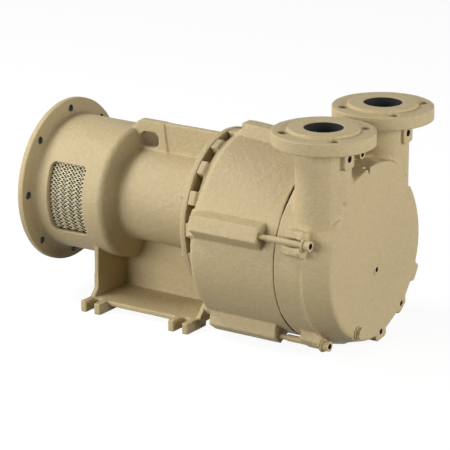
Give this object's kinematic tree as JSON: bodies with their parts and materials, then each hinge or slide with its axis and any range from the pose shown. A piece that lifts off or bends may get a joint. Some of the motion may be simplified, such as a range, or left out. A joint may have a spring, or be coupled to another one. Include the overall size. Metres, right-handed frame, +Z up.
{
  "type": "liquid ring vacuum pump",
  "caption": "Flange-mounted liquid ring vacuum pump: motor lantern with guarded windows, bearing housing on a slotted foot, ribbed round casing, and a head with suction and discharge flanges.",
  "frame": {"origin": "middle of the four foot slots on the base plane", "axes": "+X along the shaft from the motor flange to the head, +Z up, -Y the suction side"},
  "size_m": [0.6991, 0.3738, 0.4115],
  "materials": {
    "body_paint": "tan enamel over a rough iron casting",
    "painted_fasteners": "tan enamel over steel",
    "guard_mesh": "expanded steel mesh, lightly oversprayed",
    "black_rubber": "matt black rubber",
    "machined_steel": "turned and ground steel",
    "bearing_steel": "polished bearing steel",
    "cage_brass": "machined brass",
    "grey_iron": "machined grey iron",
    "spider_elastomer": "red polyurethane",
    "impeller_bronze": "cast bronze",
    "seal_carbon": "lapped carbon",
    "seal_ceramic": "lapped ceramic",
    "valve_plastic": "white fluoropolymer sheet"
  },
  "bodies": {
    "pump": {"bracket": "body_paint", "guard_screen_near": "guard_mesh", "guard_screen_far": "guard_mesh", "guard_screws": "machined_steel", "front_bearing_cover": "grey_iron", "front_cover_screws": "machined_steel", "front_lip_seal": "black_rubber", "front_bearing_outer_ring": "bearing_steel", "rear_bearing_cover": "grey_iron", "rear_cover_screws": "machined_steel", "rear_lip_seal": "black_rubber", "rear_bearing_outer_ring": "bearing_steel", "casing": "body_paint", "disc_screws": "painted_fasteners", "casing_gasket": "black_rubber", "seal_seat": "seal_ceramic", "seal_seat_cup": "black_rubber", "port_plate": "grey_iron", "valve_flap": "valve_plastic", "valve_retainer": "machined_steel", "valve_screws": "machined_steel", "head": "body_paint", "suction_neck": "body_paint", "discharge_neck": "body_paint", "tie_bolts": "painted_fasteners", "tie_washers": "painted_fasteners", "drain_plug": "painted_fasteners"},
    "rotor": {"shaft": "machined_steel", "coupling_key": "machined_steel", "coupling_hub_motor": "grey_iron", "coupling_hub_pump": "grey_iron", "coupling_spider": "spider_elastomer", "coupling_set_screws": "machined_steel", "front_bearing_inner_ring": "bearing_steel", "rear_bearing_inner_ring": "bearing_steel", "front_retaining_ring": "machined_steel", "rear_retaining_ring": "machined_steel", "slinger": "black_rubber", "seal_face": "seal_carbon", "seal_bellows": "machined_steel", "seal_collar": "machined_steel", "impeller": "impeller_bronze", "impeller_key": "machined_steel", "impeller_washer": "machined_steel", "impeller_nut": "machined_steel"},
    "front_ball_set": {"front_bearing_balls": "bearing_steel", "front_bearing_cage": "cage_brass"},
    "rear_ball_set": {"rear_bearing_balls": "bearing_steel", "rear_bearing_cage": "cage_brass"}
  },
  "joints": [
    {"name": "shaft_spin", "type": "hinge", "parent": "pump", "child": "rotor", "pos_m": [0, 0, 0.2], "axis": [1, 0, 0], "continuous": true},
    {"name": "front_ball_spin", "type": "hinge", "parent": "pump", "child": "front_ball_set", "pos_m": [0, 0, 0.2], "axis": [1, 0, 0], "continuous": true},
    {"name": "rear_ball_spin", "type": "hinge", "parent": "pump", "child": "rear_ball_set", "pos_m": [0, 0, 0.2], "axis": [1, 0, 0], "continuous": true}
  ],
  "couplings": [
    {"joint": "front_ball_spin", "follows": "shaft_spin", "ratio": 0.3828},
    {"joint": "rear_ball_spin", "follows": "shaft_spin", "ratio": 0.3828}
  ]
}
